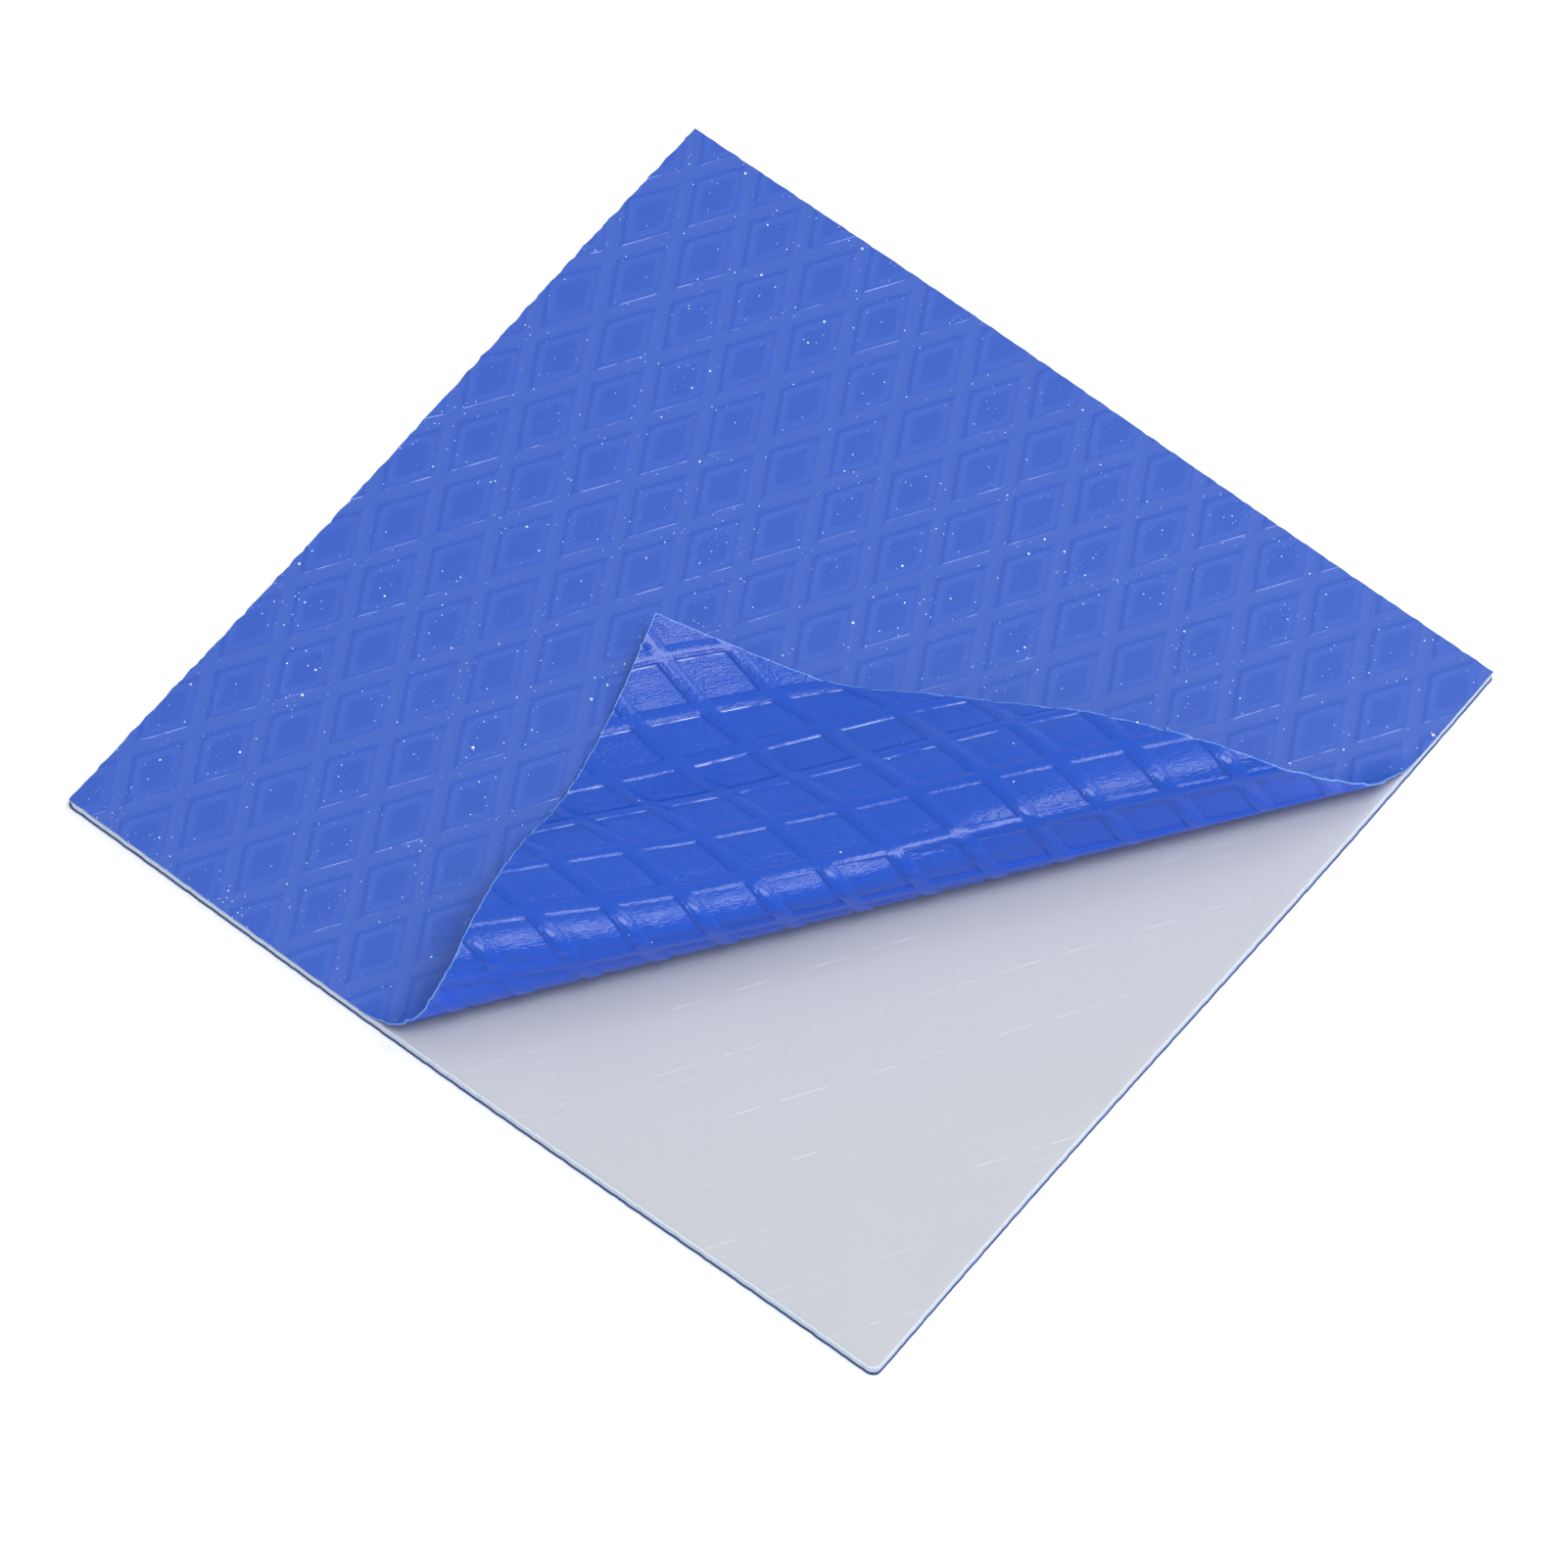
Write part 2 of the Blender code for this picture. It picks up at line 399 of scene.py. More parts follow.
def make_top_film():
    """The embossed film as one closed sheet, with its cut edge all round."""
    bm = lattice_grid()
    bm.verts.index_update()
    places = np.array([vert.co[:2] for vert in bm.verts])
    upper = [[vert.index for vert in face.verts] for face in bm.faces]
    border = []
    for edge in bm.edges:
        if edge.is_boundary:
            loop = edge.link_loops[0]
            border.append((loop.vert.index, loop.link_loop_next.vert.index))
    bm.free()

    x, y = places.T
    roll = Roll()
    relief = emboss_height(x, y) * roll.pressed(x, y)
    cut_x, cut_y = cut_place(x, y)
    top = roll.place(cut_x, cut_y, relief + FILM_THICKNESS)
    under = roll.place(cut_x, cut_y, relief)
    count = len(places)
    faces = upper + [[count + index for index in reversed(face)] for face in upper]
    faces += [[start, start + count, end + count, end] for start, end in border]

    mesh = bpy.data.meshes.new("top film")
    mesh.from_pydata(np.concatenate([top, under]).tolist(), [], faces)
    finish = np.repeat([FILM_UPPER, FILM_UNDER, FILM_EDGE], [len(upper), len(upper), len(border)])
    mesh.polygons.foreach_set("material_index", finish.astype(np.int32))
    film_place = mesh.attributes.new("film_place", "FLOAT_VECTOR", "POINT")
    doubled = np.concatenate([np.stack([x, y, np.zeros(count)], axis=-1)] * 2)
    film_place.data.foreach_set("vector", doubled.astype(np.float32).ravel())
    mesh.shade_smooth()
    mesh.set_sharp_from_angle(angle=FILM_CREASE)
    film = bpy.data.objects.new("embossed_film", mesh)
    bpy.context.scene.collection.objects.link(film)
    return film


def outline(inset):
    """The knife's path round the sheet, moved in by an inset, counter-clockwise, in millimetres."""
    half = np.array([HALF_WIDTH, HALF_LENGTH])
    points = []
    for index, radius in enumerate(CORNER_ROUNDS):
        start = (index - 1) * pi / 2
        sign = np.array([1 if index in (0, 1) else -1, 1 if index in (1, 2) else -1])
        centre = sign * (half - radius)
        for step in range(CORNER_STEPS + 1):
            turn = start + step / CORNER_STEPS * pi / 2
            points.append(centre + radius * np.array([cos(turn), sin(turn)]))
    path = []
    for here, there in zip(points, points[1:] + points[:1]):
        parts = max(1, int(np.linalg.norm(there - here) * OUTLINE_STEPS_PER_MM))
        path += [here + (there - here) * part / parts for part in range(parts)]
    path = np.array(path)
    x, y = cut_place(path[:, 0], path[:, 1], inset)
    return np.stack([x, y], axis=-1)


def make_layer(name, levels, side_rings=0):
    """A closed flat layer, built up from outlines: each level is a height and how far it is cut in. The
    lowest rings of faces between the levels can take a second material, for the cut side."""
    loops = []
    for height, inset in levels:
        path = outline(inset)
        loops.append(np.column_stack([path, np.full(len(path), height)]))
    size = len(loops[0])
    faces = [list(range(size))[::-1]]
    for level in range(len(loops) - 1):
        low, high = level * size, (level + 1) * size
        for here in range(size):
            there = (here + 1) % size
            faces.append([low + here, low + there, high + there, high + here])
    last = (len(loops) - 1) * size
    faces.append(list(range(last, last + size)))
    mesh = bpy.data.meshes.new(name)
    mesh.from_pydata((np.concatenate(loops) * MM).tolist(), [], faces)
    finish = np.full(len(faces), LAYER_FACE, dtype=np.int32)
    finish[1:1 + size * side_rings] = LAYER_SIDE
    mesh.polygons.foreach_set("material_index", finish)
    mesh.shade_smooth()
    mesh.set_sharp_from_angle(angle=LAYER_CREASE)
    layer = bpy.data.objects.new(name, mesh)
    bpy.context.scene.collection.objects.link(layer)
    return layer


def new_material(name):
    material = bpy.data.materials.new(name)
    material.use_nodes = True
    return material, material.node_tree, material.node_tree.nodes["Principled BSDF"]


def add_node(tree, kind, **settings):
    node = tree.nodes.new(kind)
    for key, value in settings.items():
        setattr(node, key, value)
    return node


def link(tree, source, target):
    tree.links.new(source, target)


def math_node(tree, operation, first, second=None, clamp=False):
    node = add_node(tree, "ShaderNodeMath", operation=operation, use_clamp=clamp)
    for socket, value in zip(node.inputs, (first, second)):
        if value is None:
            continue
        if isinstance(value, (int, float)):
            socket.default_value = value
        else:
            link(tree, value, socket)
    return node.outputs[0]


def ramp_between(tree, value, start, end):
    """0 at start and 1 at end, smoothly."""
    node = add_node(tree, "ShaderNodeMapRange", interpolation_type="SMOOTHSTEP")
    link(tree, value, node.inputs["Value"])
    node.inputs["From Min"].default_value = start
    node.inputs["From Max"].default_value = end
    return node.outputs["Result"]


def mix_colour(tree, factor, first, second):
    """A mix of two colours. The node's colour sockets are its inputs 6 and 7 and its output 2."""
    node = add_node(tree, "ShaderNodeMix", data_type="RGBA")
    for index, value in ((0, factor), (6, first), (7, second)):
        socket = node.inputs[index]
        if isinstance(value, (int, float)):
            socket.default_value = value
        elif isinstance(value, tuple):
            socket.default_value = (*value, 1.0)
        else:
            link(tree, value, socket)
    return node.outputs[2]


def new_group(name, inputs, outputs):
    """A shader node group. Each input is its name, socket type and own value, or None."""
    group = bpy.data.node_groups.new(name, "ShaderNodeTree")
    for socket, kind, value in inputs:
        made = group.interface.new_socket(name=socket, in_out="INPUT", socket_type=kind)
        if value is not None:
            made.default_value = value
    for socket, kind in outputs:
        group.interface.new_socket(name=socket, in_out="OUTPUT", socket_type=kind)
    return group, group.nodes.new("NodeGroupInput"), group.nodes.new("NodeGroupOutput")


def place_group(tree, group, **values):
    """A group's node, with its inputs set or linked. An underscore stands for a space in their names."""
    node = add_node(tree, "ShaderNodeGroup", node_tree=group)
    for key, value in values.items():
        socket = node.inputs[key.replace("_", " ")]
        if isinstance(value, (int, float)):
            socket.default_value = value
        else:
            link(tree, value, socket)
    return node


def phase_across(tree, place, family):
    """The place across one family of strips: whole numbers lie on the middle of a strip."""
    angle, pitch, shift = STRIP_ANGLES[family], STRIP_PITCHES[family], STRIP_SHIFTS[family]
    across = add_node(tree, "ShaderNodeVectorMath", operation="DOT_PRODUCT")
    link(tree, place, across.inputs[0])
    across.inputs[1].default_value = (sin(angle) / pitch, -cos(angle) / pitch, 0.0)
    return math_node(tree, "ADD", across.outputs["Value"], shift)


def diamond_group():
    """Masks of the diamond embossing at a film place: its strips, the pale border of each cell, and the
    signed distances in millimetres to the nearest strip of each family."""
    group, given, result = new_group(
        "diamond pattern",
        [("Place", "NodeSocketVector", None)],
        [("Strip", "NodeSocketFloat"), ("Border", "NodeSocketFloat"),
         ("First Distance", "NodeSocketFloat"), ("Second Distance", "NodeSocketFloat")],
    )
    distances = []
    for family, output in enumerate(("First Distance", "Second Distance")):
        phase = phase_across(group, given.outputs["Place"], family)
        wrapped = math_node(group, "FRACT", math_node(group, "ADD", phase, 0.5))
        share = math_node(group, "SUBTRACT", wrapped, 0.5)
        signed = math_node(group, "MULTIPLY", share, STRIP_PITCHES[family])
        link(group, signed, result.inputs[output])
        distances.append(math_node(group, "ABSOLUTE", signed))
    nearest = math_node(group, "MINIMUM", *distances)
    rounded = add_node(group, "ShaderNodeMath", operation="SMOOTH_MIN")
    for socket, value in zip(rounded.inputs, distances):
        link(group, value, socket)
    rounded.inputs[2].default_value = BORDER_CORNER
    link(group, ramp_between(group, nearest, *STRIP_MASK), result.inputs["Strip"])
    outside = ramp_between(group, rounded.outputs[0], *BORDER_OUTSIDE)
    inside = ramp_between(group, rounded.outputs[0], *BORDER_INSIDE)
    link(group, math_node(group, "MULTIPLY", outside, inside), result.inputs["Border"])
    return group


def grain_group():
    """Uneven texture: a fine height for bump, and a slow blotchy mask."""
    group, given, result = new_group(
        "uneven surface",
        [("Place", "NodeSocketVector", None), ("Fine Scale", "NodeSocketFloat", 3.0),
         ("Broad Scale", "NodeSocketFloat", 0.15)],
        [("Fine", "NodeSocketFloat"), ("Broad", "NodeSocketFloat")],
    )
    for scale, output, detail in (("Fine Scale", "Fine", 3.0), ("Broad Scale", "Broad", 2.0)):
        noise = add_node(group, "ShaderNodeTexNoise")
        link(group, given.outputs["Place"], noise.inputs["Vector"])
        link(group, given.outputs[scale], noise.inputs["Scale"])
        noise.inputs["Detail"].default_value = detail
        link(group, noise.outputs["Fac"], result.inputs[output])
    return group


def brushed_group():
    """A fine texture drawn out along one direction."""
    group, given, result = new_group(
        "brushed surface",
        [("Place", "NodeSocketVector", None), ("Direction", "NodeSocketVector", None),
         ("Along Scale", "NodeSocketFloat", 0.8), ("Across Scale", "NodeSocketFloat", 4.0)],
        [("Height", "NodeSocketFloat")],
    )
    turned = add_node(group, "ShaderNodeVectorMath", operation="CROSS_PRODUCT")
    link(group, given.outputs["Direction"], turned.inputs[0])
    turned.inputs[1].default_value = (0.0, 0.0, 1.0)
    drawn = add_node(group, "ShaderNodeCombineXYZ")
    ways = ((given.outputs["Direction"], "Along Scale"), (turned.outputs["Vector"], "Across Scale"))
    for axis, (way, scale) in enumerate(ways):
        part = add_node(group, "ShaderNodeVectorMath", operation="DOT_PRODUCT")
        link(group, given.outputs["Place"], part.inputs[0])
        link(group, way, part.inputs[1])
        scaled = math_node(group, "MULTIPLY", part.outputs["Value"], given.outputs[scale])
        link(group, scaled, drawn.inputs[axis])
    noise = add_node(group, "ShaderNodeTexNoise")
    noise.inputs["Scale"].default_value = 1.0
    noise.inputs["Detail"].default_value = 3.0
    link(group, drawn.outputs["Vector"], noise.inputs["Vector"])
    link(group, noise.outputs["Fac"], result.inputs["Height"])
    return group


def dust_group():
    """A mask of small pale specks of uneven size scattered over a surface, thinner in some parts."""
    group, given, result = new_group(
        "dust specks",
        [("Place", "NodeSocketVector", None), ("Spacing", "NodeSocketFloat", 0.8),
         ("Share", "NodeSocketFloat", 0.2), ("Smallest", "NodeSocketFloat", 0.04),
         ("Largest", "NodeSocketFloat", 0.1)],
        [("Specks", "NodeSocketFloat")],
    )
    cells = add_node(group, "ShaderNodeTexVoronoi", voronoi_dimensions="2D")
    link(group, given.outputs["Place"], cells.inputs["Vector"])
    link(group, math_node(group, "DIVIDE", 1.0, given.outputs["Spacing"]), cells.inputs["Scale"])
    chance = add_node(group, "ShaderNodeSeparateColor")
    link(group, cells.outputs["Color"], chance.inputs["Color"])
    crowd = add_node(group, "ShaderNodeTexNoise")
    link(group, given.outputs["Place"], crowd.inputs["Vector"])
    crowd.inputs["Scale"].default_value = 0.13
    crowding = ramp_between(group, crowd.outputs["Fac"], start=0.30, end=0.72)
    most_crowded = 2.0
    crowded = math_node(group, "MULTIPLY", crowding, most_crowded)
    share = math_node(group, "MULTIPLY", given.outputs["Share"], crowded)
    chosen = math_node(group, "LESS_THAN", chance.outputs["Red"], share)
    spread = math_node(group, "SUBTRACT", given.outputs["Largest"], given.outputs["Smallest"])
    few_large = 3.0
    growth = math_node(group, "POWER", chance.outputs["Green"], few_large)
    size = math_node(group, "ADD", math_node(group, "MULTIPLY", growth, spread), given.outputs["Smallest"])
    radius = math_node(group, "DIVIDE", size, given.outputs["Spacing"])
    inside = math_node(group, "LESS_THAN", cells.outputs["Distance"], radius)
    faintest = 0.4
    uneven = math_node(group, "MULTIPLY", chance.outputs["Blue"], 1.0 - faintest)
    bright = math_node(group, "ADD", uneven, faintest)
    speck = math_node(group, "MULTIPLY", chosen, inside)
    link(group, math_node(group, "MULTIPLY", speck, bright), result.inputs["Specks"])
    return group


def line_group():
    """A thin broken line beside the strips of the first family, which stops at the crossings."""
    group, given, result = new_group(
        "strip edge line",
        [("Place", "NodeSocketVector", None), ("First Distance", "NodeSocketFloat", None),
         ("Second Distance", "NodeSocketFloat", None), ("Offset", "NodeSocketFloat", -0.7),
         ("Width", "NodeSocketFloat", 0.06)],
        [("Line", "NodeSocketFloat")],
    )
    beside = math_node(group, "SUBTRACT", given.outputs["First Distance"], given.outputs["Offset"])
    away = math_node(group, "ABSOLUTE", beside)
    faded = math_node(group, "DIVIDE", away, given.outputs["Width"])
    strength = math_node(group, "SUBTRACT", 1.0, faded, clamp=True)
    from_crossing = math_node(group, "ABSOLUTE", given.outputs["Second Distance"])
    clear = ramp_between(group, from_crossing, start=0.75, end=1.15)
    uneven_noise = add_node(group, "ShaderNodeTexNoise")
    link(group, given.outputs["Place"], uneven_noise.inputs["Vector"])
    uneven_noise.inputs["Scale"].default_value = 0.35
    uneven_noise.inputs["Detail"].default_value = 4.0
    kept = ramp_between(group, uneven_noise.outputs["Fac"], start=0.38, end=0.60)
    whole = math_node(group, "MULTIPLY", strength, clear)
    link(group, math_node(group, "MULTIPLY", whole, kept), result.inputs["Line"])
    return group


def rim_group():
    """A mask of the narrow band along the sheet's cut edges, uneven in width."""
    group, given, result = new_group(
        "cut rim", [("Place", "NodeSocketVector", None), ("Width", "NodeSocketFloat", 0.2)],
        [("Rim", "NodeSocketFloat")],
    )
    parts = add_node(group, "ShaderNodeSeparateXYZ")
    link(group, given.outputs["Place"], parts.inputs["Vector"])
    gaps = [math_node(group, "SUBTRACT", half, math_node(group, "ABSOLUTE", parts.outputs[axis]))
            for axis, half in enumerate((HALF_WIDTH, HALF_LENGTH))]
    gap = math_node(group, "MINIMUM", *gaps)
    uneven_noise = add_node(group, "ShaderNodeTexNoise")
    link(group, given.outputs["Place"], uneven_noise.inputs["Vector"])
    uneven_noise.inputs["Scale"].default_value = 1.6
    widest_share = 2.0
    uneven = math_node(group, "MULTIPLY", uneven_noise.outputs["Fac"], widest_share)
    reach = math_node(group, "MULTIPLY", given.outputs["Width"], uneven)
    link(group, math_node(group, "LESS_THAN", gap, reach), result.inputs["Rim"])
    return group


def film_place_node(tree):
    """A point's place on the flat sheet, in millimetres, stored on the film's mesh."""
    return add_node(tree, "ShaderNodeAttribute", attribute_name="film_place").outputs["Vector"]


def past_peel_line(tree, place, start, end):
    """0 and 1 at two distances past the peel line, measured on the flat film, and smooth between them."""
    roll = Roll()
    across = add_node(tree, "ShaderNodeVectorMath", operation="DOT_PRODUCT")
    link(tree, place, across.inputs[0])
    across.inputs[1].default_value = (sin(roll.angle), -cos(roll.angle), 0.0)
    peel_line = roll.start_x * sin(roll.angle) - roll.start_y * cos(roll.angle)
    return ramp_between(tree, across.outputs["Value"], peel_line + start, peel_line + end)


def object_place(tree):
    """A point's place on the object, in metres."""
    return add_node(tree, "ShaderNodeTexCoord").outputs["Object"]


def edge_line(tree, groups, place, diamonds, offset, width):
    """The strip edge line, laid out from the distances that the diamond pattern gives."""
    line = place_group(tree, groups["line"], Place=place, Offset=offset, Width=width,
                       First_Distance=diamonds.outputs["First Distance"],
                       Second_Distance=diamonds.outputs["Second Distance"])
    return line.outputs["Line"]


def bump_from(tree, shader, height, distance, strength):
    bump = add_node(tree, "ShaderNodeBump")
    bump.inputs["Strength"].default_value = strength
    bump.inputs["Distance"].default_value = distance
    link(tree, height, bump.inputs["Height"])
    link(tree, bump.outputs["Normal"], shader.inputs["Normal"])


def film_face_material(groups):
    """The film's upper face: hazy blue with frosted cell borders and paler strips, with dust on it. Thin
    paler lines beside the strips, in patches, are painted glints.
    """
    cell_blue, border_blue = (0.0165, 0.0815, 0.465), (0.036, 0.118, 0.535)
    strip_blue, blotch_blue = (0.0320, 0.1010, 0.480), (0.05, 0.14, 0.55)
    painted_glint_blue, dust_white = (0.27, 0.38, 0.85), (0.85, 0.93, 1.0)
    least_frost, blotch_share, fine_dust_strength = 0.42, 0.10, 0.8

    material, tree, shader = new_material("film upper face")
    place = film_place_node(tree)
    diamonds = place_group(tree, groups["diamonds"], Place=place)
    grain = place_group(tree, groups["grain"], Place=place, Fine_Scale=4.0, Broad_Scale=0.12)
    frost = place_group(tree, groups["grain"], Place=place, Fine_Scale=7.0, Broad_Scale=0.05)
    fine_dust = place_group(tree, groups["dust"], Place=place, Spacing=0.6, Share=0.13,
                            Smallest=0.025, Largest=0.08)
    large_dust = place_group(tree, groups["dust"], Place=place, Spacing=2.9, Share=0.16,
                             Smallest=0.07, Largest=0.15)
    line = edge_line(tree, groups, place, diamonds, offset=-0.75, width=0.09)

    haze = ramp_between(tree, frost.outputs["Fine"], start=0.52, end=0.72)
    frosted = math_node(tree, "ADD", haze, least_frost)
    border = math_node(tree, "MULTIPLY", diamonds.outputs["Border"], frosted, clamp=True)
    cell = mix_colour(tree, border, cell_blue, border_blue)
    base = mix_colour(tree, diamonds.outputs["Strip"], cell, strip_blue)
    blotches = math_node(tree, "MULTIPLY", grain.outputs["Broad"], blotch_share)
    tinted = mix_colour(tree, blotches, base, blotch_blue)
    patches = ramp_between(tree, frost.outputs["Broad"], start=0.42, end=0.62)
    # Thin paler lines beside the strips, in patches: painted glints
    with_painted_glints = mix_colour(tree, math_node(tree, "MULTIPLY", line, patches), tinted, painted_glint_blue)
    fine_specks = math_node(tree, "MULTIPLY", fine_dust.outputs["Specks"], fine_dust_strength)
    dust = math_node(tree, "MAXIMUM", large_dust.outputs["Specks"], fine_specks)
    speckled = mix_colour(tree, dust, with_painted_glints, dust_white)

    link(tree, speckled, shader.inputs["Base Color"])
    shader.inputs["Roughness"].default_value = 0.45
    bump_from(tree, shader, grain.outputs["Fine"], distance=0.00002, strength=0.5)
    return material


def film_under_material(groups):
    """The film's under face, which shows on the roll: a deeper, glossier blue with a pale cut rim and thin
    painted highlight lines beside the strips. The wall at the roll's foot is painted a lighter blue, which
    stands in for light that comes through the thin film there."""
    cell_blue, blotch_blue, strip_blue = (0.011, 0.074, 0.475), (0.017, 0.088, 0.535), (0.0125, 0.078, 0.50)
    painted_through_light_blue, painted_glint_blue, rim_blue = (0.009, 0.096, 0.72), (0.55, 0.66, 0.98), (0.12, 0.30, 0.76)
    dust_white = (0.8, 0.9, 1.0)
    least_line, more_line_on_flap, grain_share = 0.15, 0.7, 0.8

    material, tree, shader = new_material("film under face")
    place = film_place_node(tree)
    diamonds = place_group(tree, groups["diamonds"], Place=place)
    grain = place_group(tree, groups["grain"], Place=place, Fine_Scale=1.6, Broad_Scale=0.2)
    brushed = place_group(tree, groups["brushed"], Place=place, Along_Scale=1.1, Across_Scale=4.5)
    brushed.inputs["Direction"].default_value = (cos(STRIP_ANGLES[0]), sin(STRIP_ANGLES[0]), 0.0)
    rim = place_group(tree, groups["rim"], Place=place, Width=0.10)
    dust = place_group(tree, groups["dust"], Place=place, Spacing=2.2, Share=0.02,
                       Smallest=0.04, Largest=0.10)
    line = edge_line(tree, groups, place, diamonds, offset=-0.88, width=0.12)

    cell = mix_colour(tree, grain.outputs["Broad"], cell_blue, blotch_blue)
    base = mix_colour(tree, diamonds.outputs["Strip"], cell, strip_blue)
    # The wall's lighter blue is painted light, standing in for light that comes through the thin film
    wall = mix_colour(tree, past_peel_line(tree, place, WALL_END, WALL_START), base, painted_through_light_blue)
    towards_tip = past_peel_line(tree, place, FLAP_START, FLAP_END)
    line_strength = math_node(tree, "MULTIPLY", towards_tip, more_line_on_flap)
    line_strength = math_node(tree, "ADD", line_strength, least_line)
    # Thin pale lines beside the strips, strongest on the flap: painted highlights of the embossing's edges
    with_painted_glints = mix_colour(tree, math_node(tree, "MULTIPLY", line, line_strength), wall, painted_glint_blue)
    speckled = mix_colour(tree, dust.outputs["Specks"], with_painted_glints, dust_white)
    rimmed = mix_colour(tree, rim.outputs["Rim"], speckled, rim_blue)

    link(tree, rimmed, shader.inputs["Base Color"])
    shader.inputs["Roughness"].default_value = 0.25
    shader.inputs["Specular IOR Level"].default_value = 0.38
    off_strips = math_node(tree, "SUBTRACT", 1.0, diamonds.outputs["Strip"])
    streaks = math_node(tree, "MULTIPLY", brushed.outputs["Height"], off_strips)
    fine = math_node(tree, "MULTIPLY", grain.outputs["Fine"], grain_share)
    bump_from(tree, shader, math_node(tree, "ADD", streaks, fine), distance=0.00011, strength=0.8)
    return material


def plain_material(groups, name, place, scales, output, colours, roughness):
    """A material of two colours mixed by one output of the uneven surface, with one roughness."""
    material, tree, shader = new_material(name)
    fine_scale, broad_scale = scales
    grain = place_group(tree, groups["grain"], Place=place(tree), Fine_Scale=fine_scale,
                        Broad_Scale=broad_scale)
    link(tree, mix_colour(tree, grain.outputs[output], *colours), shader.inputs["Base Color"])
    shader.inputs["Roughness"].default_value = roughness
    return material


def film_edge_material(groups):
    """The film's cut edge, which is paler than its faces."""
    blues = ((0.07, 0.24, 0.75), (0.26, 0.50, 0.95))
    return plain_material(groups, "film cut edge", film_place_node, scales=(2.0, 0.5), output="Fine",
                          colours=blues, roughness=0.5)


def pad_material(groups):
    """Soft grey silicone, with faint lines that the film's strips pressed into it."""
    darker_grey, lighter_grey = (0.472, 0.488, 0.535), (0.492, 0.508, 0.560)
    streak_grey, mark_white = (0.55, 0.56, 0.59), (0.78, 0.80, 0.84)
    weaker_line, streak_share, mark_share, mark_depth = 0.35, 0.22, 0.55, 1.5
    drawn_way = (0.53, -0.85, 0.0)

    material, tree, shader = new_material("silicone")
    scaled = add_node(tree, "ShaderNodeVectorMath", operation="SCALE")
    link(tree, object_place(tree), scaled.inputs[0])
    scaled.inputs["Scale"].default_value = 1.0 / MM
    place = scaled.outputs["Vector"]
    diamonds = place_group(tree, groups["diamonds"], Place=place)
    grain = place_group(tree, groups["grain"], Place=place, Fine_Scale=2.2, Broad_Scale=0.08)
    brushed = place_group(tree, groups["brushed"], Place=place, Along_Scale=0.10, Across_Scale=2.6)
    brushed.inputs["Direction"].default_value = drawn_way

    line = edge_line(tree, groups, place, diamonds, offset=-0.72, width=0.11)
    other_line = edge_line(tree, groups, place, diamonds, offset=0.62, width=0.11)
    both_lines = math_node(tree, "MAXIMUM", line, math_node(tree, "MULTIPLY", other_line, weaker_line))
    patches = ramp_between(tree, grain.outputs["Broad"], start=0.42, end=0.60)
    marks = math_node(tree, "MULTIPLY", both_lines, patches)
    base = mix_colour(tree, grain.outputs["Broad"], darker_grey, lighter_grey)
    streaks = math_node(tree, "MULTIPLY", brushed.outputs["Height"], streak_share)
    streaked = mix_colour(tree, streaks, base, streak_grey)
    marked = mix_colour(tree, math_node(tree, "MULTIPLY", marks, mark_share), streaked, mark_white)

    link(tree, marked, shader.inputs["Base Color"])
    shader.inputs["Roughness"].default_value = 0.6
    dents = math_node(tree, "MULTIPLY", marks, mark_depth)
    height = math_node(tree, "SUBTRACT", grain.outputs["Fine"], dents)
    bump_from(tree, shader, height, distance=0.00004, strength=0.5)
    return material


def pad_side_material(groups):
    """The silicone where the knife cut it, which is much paler than its faces."""
    pale_blues = ((0.50, 0.61, 0.76), (0.74, 0.81, 0.90))
    return plain_material(groups, "silicone cut side", object_place, scales=(1800.0, 120.0), output="Fine",
                          colours=pale_blues, roughness=0.6)


def backing_material(groups):
    """The thin smooth film under the pad. Its dark blue is partly the film's own colour and partly painted
    shade, for the contact shadow along the sheet's foot.
    """
    film_and_painted_shade_blues = ((0.030, 0.065, 0.24), (0.060, 0.115, 0.34))
    return plain_material(groups, "backing film", object_place, scales=(900.0, 90.0), output="Broad",
                          colours=film_and_painted_shade_blues, roughness=0.4)


def make_camera():
    """The camera looks from its azimuth and elevation at its target, and is rolled round its own axis."""
    level = cos(CAMERA_ELEVATION)
    back = Vector((sin(CAMERA_AZIMUTH) * level, -cos(CAMERA_AZIMUTH) * level, sin(CAMERA_ELEVATION)))
    right = Vector((0, 0, 1)).cross(back).normalized()
    up = back.cross(right)
    tilted_right = right * cos(CAMERA_ROLL) + up * sin(CAMERA_ROLL)
    tilted_up = up * cos(CAMERA_ROLL) - right * sin(CAMERA_ROLL)
    camera = bpy.data.objects.new("camera", bpy.data.cameras.new("camera"))
    place = Vector(CAMERA_TARGET) + back * CAMERA_DISTANCE
    turn = Matrix((tilted_right, tilted_up, back)).transposed().to_4x4()
    camera.matrix_world = Matrix.Translation(place) @ turn
    camera.data.sensor_width = SENSOR_WIDTH
    camera.data.lens = CAMERA_LENS
    camera.data.clip_start = CAMERA_CLIP_START
    bpy.context.scene.collection.objects.link(camera)
    bpy.context.scene.camera = camera


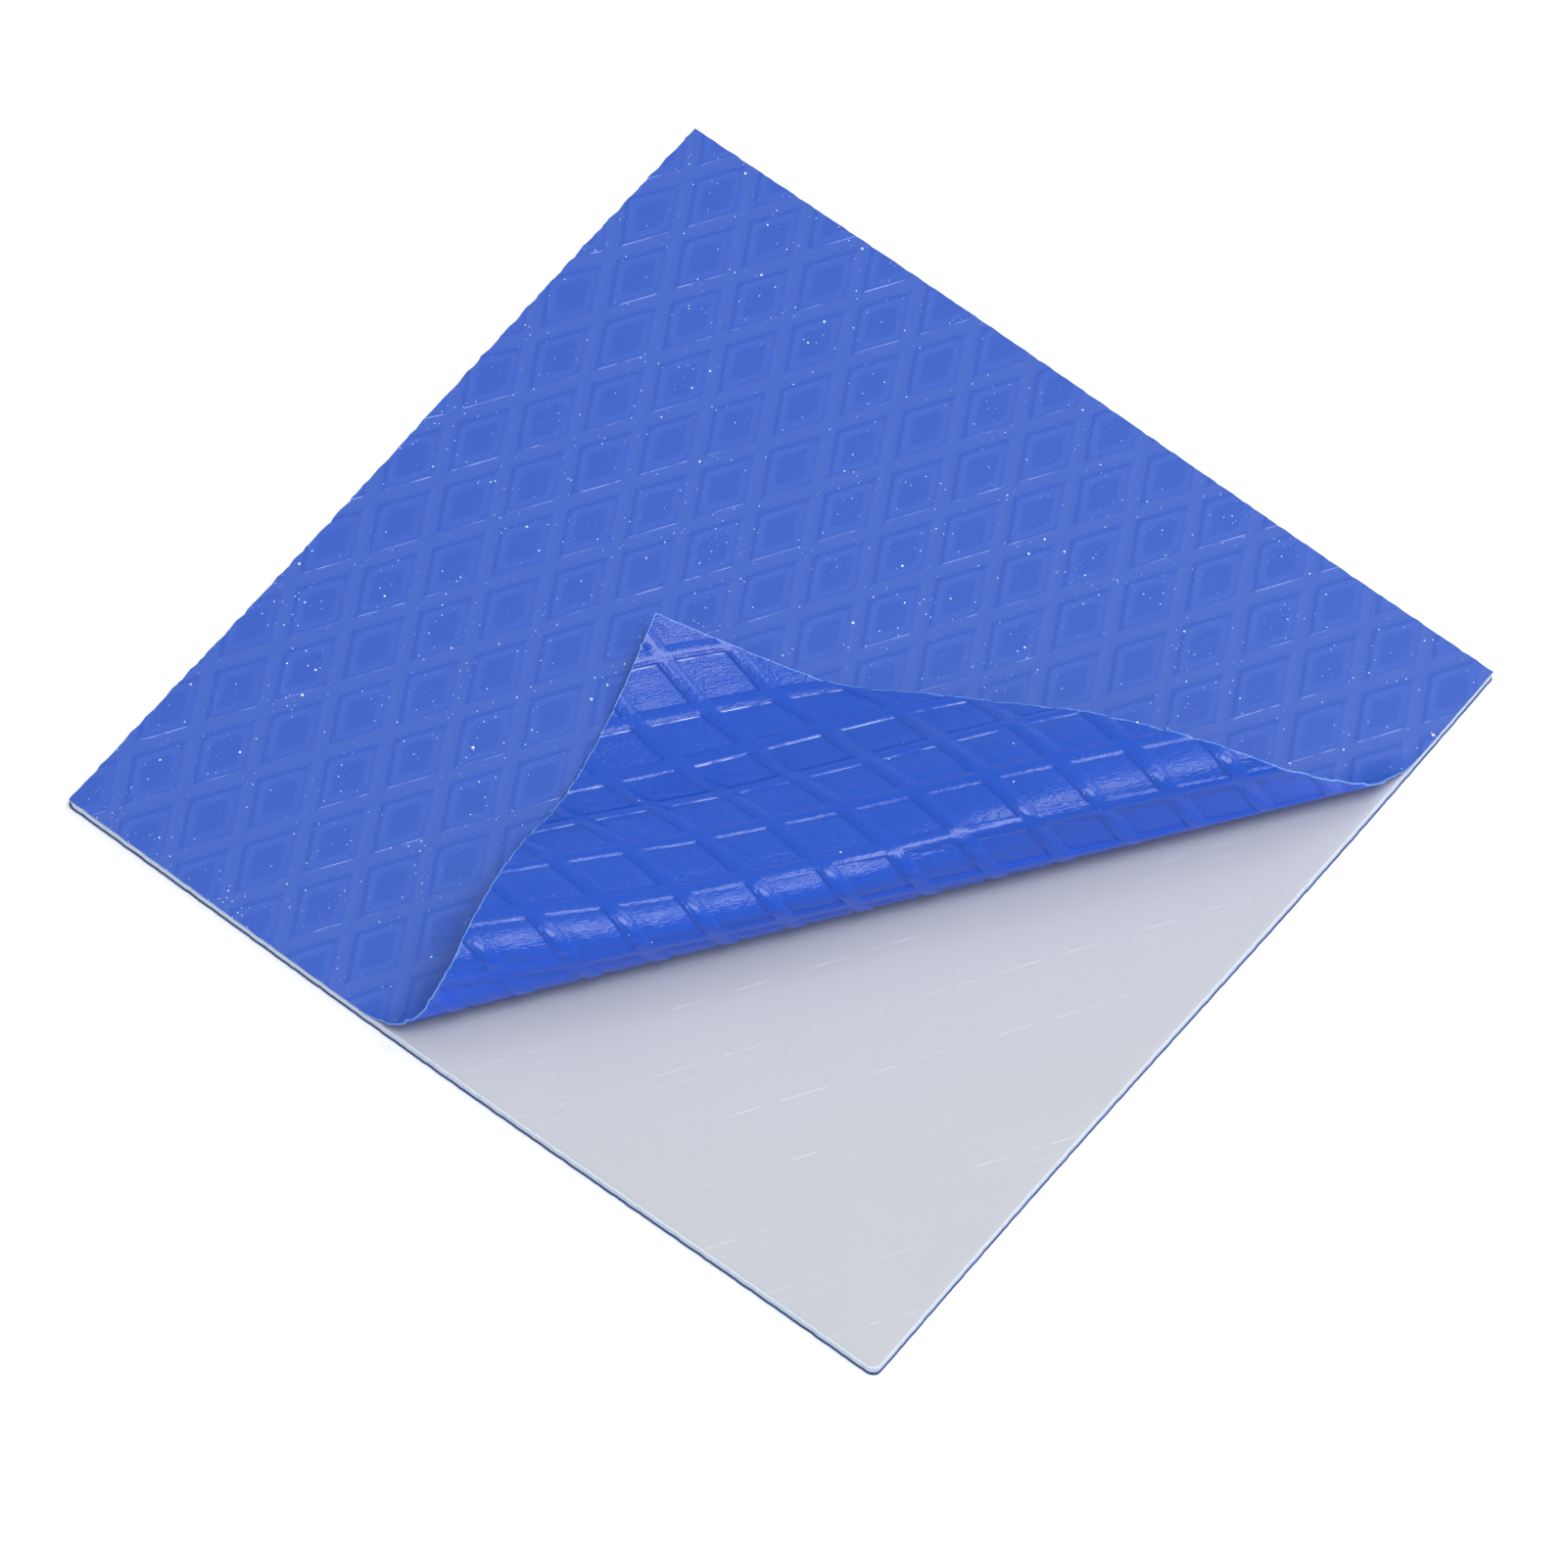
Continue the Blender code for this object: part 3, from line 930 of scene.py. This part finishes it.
def make_floor():
    """A white table under the sheet. It stages the piece, and isn't part of it."""
    bpy.ops.mesh.primitive_plane_add(size=FLOOR_SIZE, location=(0, 0, FLOOR_HEIGHT))
    floor = bpy.context.active_object
    floor.name = "floor"
    material, _, shader = new_material("white table")
    shader.inputs["Base Color"].default_value = (0.97, 0.97, 0.97, 1.0)
    shader.inputs["Roughness"].default_value = 0.9
    shader.inputs["Specular IOR Level"].default_value = 0.1
    floor.data.materials.append(material)


def add_softbox(name, place, width, power):
    """A square area light that faces the middle of the sheet."""
    data = bpy.data.lights.new(name, "AREA")
    data.shape = "RECTANGLE"
    data.size = width
    data.size_y = width
    data.energy = power
    light = bpy.data.objects.new(name, data)
    light.location = place
    light.rotation_euler = (-Vector(place)).to_track_quat("-Z", "Y").to_euler()
    bpy.context.scene.collection.objects.link(light)


def make_light():
    """An even pale studio, a softbox overhead and one behind the sheet."""
    world = bpy.data.worlds.new("studio")
    bpy.context.scene.world = world
    world.use_nodes = True
    backdrop = world.node_tree.nodes["Background"]
    backdrop.inputs["Color"].default_value = (0.98, 0.99, 1.0, 1.0)
    backdrop.inputs["Strength"].default_value = 0.54
    add_softbox("overhead softbox", place=(0.26, 0.0, 1.1), width=0.5, power=6.8)
    add_softbox("back softbox", place=(0.155, 0.77, 0.9), width=0.6, power=4.0)
    bpy.context.scene.view_settings.view_transform = "Standard"


make_camera()
make_floor()
make_light()

groups = {
    "diamonds": diamond_group(),
    "grain": grain_group(),
    "brushed": brushed_group(),
    "dust": dust_group(),
    "line": line_group(),
    "rim": rim_group(),
}

film = make_top_film()
for material in (film_face_material(groups), film_under_material(groups), film_edge_material(groups)):
    film.data.materials.append(material)

pad = make_layer("silicone_pad", PAD_LEVELS, side_rings=PAD_SIDE_RINGS)
pad.data.materials.append(pad_material(groups))
pad.data.materials.append(pad_side_material(groups))

backing = make_layer("backing_sheet", [(0.0, -BACKING_OVERHANG), (BACKING_HIGH, -BACKING_OVERHANG)])
backing.data.materials.append(backing_material(groups))

for piece, node, slot in ((film, "top_film", "embossed_film"), (pad, "thermal_pad", "silicone"),
                          (backing, "bottom_film", "backing_film")):
    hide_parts(node)
    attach(piece, "root")
